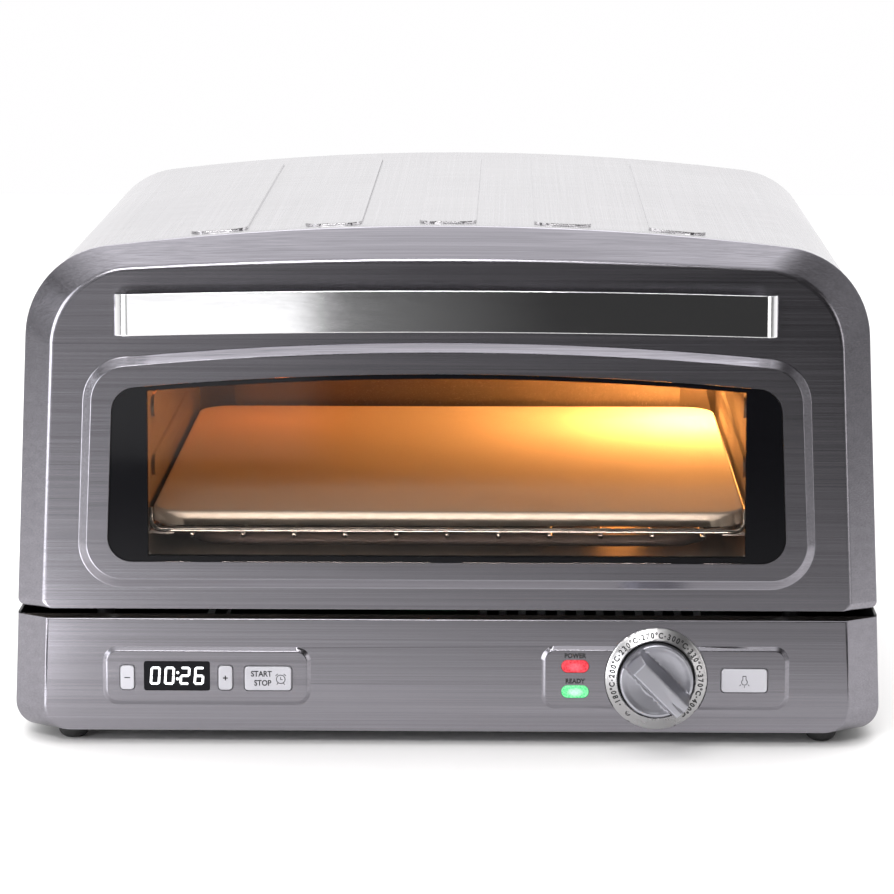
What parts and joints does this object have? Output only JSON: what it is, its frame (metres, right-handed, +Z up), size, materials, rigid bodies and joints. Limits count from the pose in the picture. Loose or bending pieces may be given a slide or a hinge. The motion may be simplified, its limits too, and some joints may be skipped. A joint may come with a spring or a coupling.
{
  "type": "countertop pizza oven",
  "caption": "Countertop electric pizza oven: drop-down glass door that draws out a baking stone on a wire rack, with push buttons, display and temperature knob.",
  "frame": {"origin": "centre of the footprint on the surface the feet stand on", "axes": "+Z up, -Y towards the door, +X to the right seen from the front"},
  "size_m": [0.471, 0.4593, 0.2801],
  "materials": {
    "brushed_steel": "horizontal brushed grain",
    "base_paint": "satin dark coating",
    "rear_steel": "satin dark coating",
    "rear_plastic": "fine grain",
    "liner_enamel": "vitreous grey enamel",
    "guide_steel": "bright zinc",
    "element_sheath": "heat-darkened sheath",
    "ceramic": "matt white ceramic",
    "lamp_glass": "clear pressed glass",
    "wool": "mineral wool",
    "gasket": "braided seal",
    "board": "green solder mask",
    "black_plastic": "moulded",
    "window_black": "gloss black window",
    "red_lens": "clear red",
    "green_lens": "clear green",
    "key_silver": "satin silver",
    "dial_chrome": "turned and polished",
    "knob_metal": "spun face",
    "polished_steel": "mirror polish",
    "bright_steel": "zinc plated",
    "door_inner_steel": "plain sheet",
    "door_glass": "toughened",
    "rubber_foot": "matt",
    "rack_chrome": "chromed wire",
    "cordierite": "unglazed cordierite"
  },
  "bodies": {
    "chassis": {"base_deck": "base_paint", "base_tub": "base_paint", "cavity_front_frame": "liner_enamel", "cavity_liner": "liner_enamel", "control_board": "board", "control_fascia": "brushed_steel", "cord_gland": "rear_plastic", "deck_screws": "bright_steel", "dial_ring": "dial_chrome", "display_module": "black_plastic", "display_window": "window_black", "door_gasket": "gasket", "element_clips": "guide_steel", "element_insulators": "ceramic", "foot_front_left": "rubber_foot", "foot_front_right": "rubber_foot", "foot_rear_left": "rubber_foot", "foot_rear_right": "rubber_foot", "hinge_bracket_left": "bright_steel", "hinge_bracket_right": "bright_steel", "housing_wrap": "brushed_steel", "insulation_blankets": "wool", "key_switches": "black_plastic", "lamp_bulb": "lamp_glass", "lamp_holder": "ceramic", "lamp_lens": "lamp_glass", "lower_elements": "element_sheath", "potentiometer": "black_plastic", "power_board": "board", "power_lens": "red_lens", "rack_guide_left": "guide_steel", "rack_guide_right": "guide_steel", "ready_lens": "green_lens", "rear_panel": "rear_steel", "rear_screws": "bright_steel", "rear_spacers": "rear_plastic", "relays": "black_plastic", "temperature_probe": "bright_steel", "terminal_block": "ceramic", "thermal_cutout": "black_plastic", "upper_elements": "element_sheath"},
    "door": {"door_panel": "brushed_steel", "door_lining": "door_inner_steel", "outer_glass": "door_glass", "inner_glass": "door_glass", "glass_clips": "guide_steel", "handle_bar": "polished_steel", "handle_screws": "bright_steel", "hinge_leaf_left": "bright_steel", "hinge_leaf_right": "bright_steel", "hinge_pins": "bright_steel", "door_screws": "bright_steel"},
    "rack": {"stone_rack": "rack_chrome", "pizza_stone": "cordierite"},
    "knob": {"temperature_knob": "knob_metal", "knob_spindle": "bright_steel"},
    "minus_key": {"minus_button": "key_silver"},
    "plus_key": {"plus_button": "key_silver"},
    "start_stop_key": {"start_stop_button": "key_silver"},
    "light_key": {"light_button": "key_silver"}
  },
  "joints": [
    {"name": "door_hinge", "type": "hinge", "parent": "chassis", "child": "door", "pos_m": [0, -0.18949, 0.08219], "axis": [1, 0, 0], "range_deg": [0, 90]},
    {"name": "rack_slide", "type": "slide", "parent": "chassis", "child": "rack", "axis": [0, -1, 0], "range_m": [0, 0.0378]},
    {"name": "knob_turn", "type": "hinge", "parent": "chassis", "child": "knob", "pos_m": [0.1136, -0.20164, 0.03753], "axis": [0, -0.9976, 0.0698], "range_deg": [0, 270]},
    {"name": "minus_press", "type": "slide", "parent": "chassis", "child": "minus_key", "axis": [0, 0.9976, -0.0698], "range_m": [0, 0.0012], "stiffness_N_per_m": 400, "springref_m": -0.001},
    {"name": "plus_press", "type": "slide", "parent": "chassis", "child": "plus_key", "axis": [0, 0.9976, -0.0698], "range_m": [0, 0.0012], "stiffness_N_per_m": 400, "springref_m": -0.001},
    {"name": "start_stop_press", "type": "slide", "parent": "chassis", "child": "start_stop_key", "axis": [0, 0.9976, -0.0698], "range_m": [0, 0.0012], "stiffness_N_per_m": 400, "springref_m": -0.001},
    {"name": "light_press", "type": "slide", "parent": "chassis", "child": "light_key", "axis": [0, 0.9976, -0.0698], "range_m": [0, 0.0012], "stiffness_N_per_m": 400, "springref_m": -0.001}
  ],
  "couplings": [
    {"joint": "rack_slide", "follows": "door_hinge", "m_per_rad": 0.024}
  ]
}
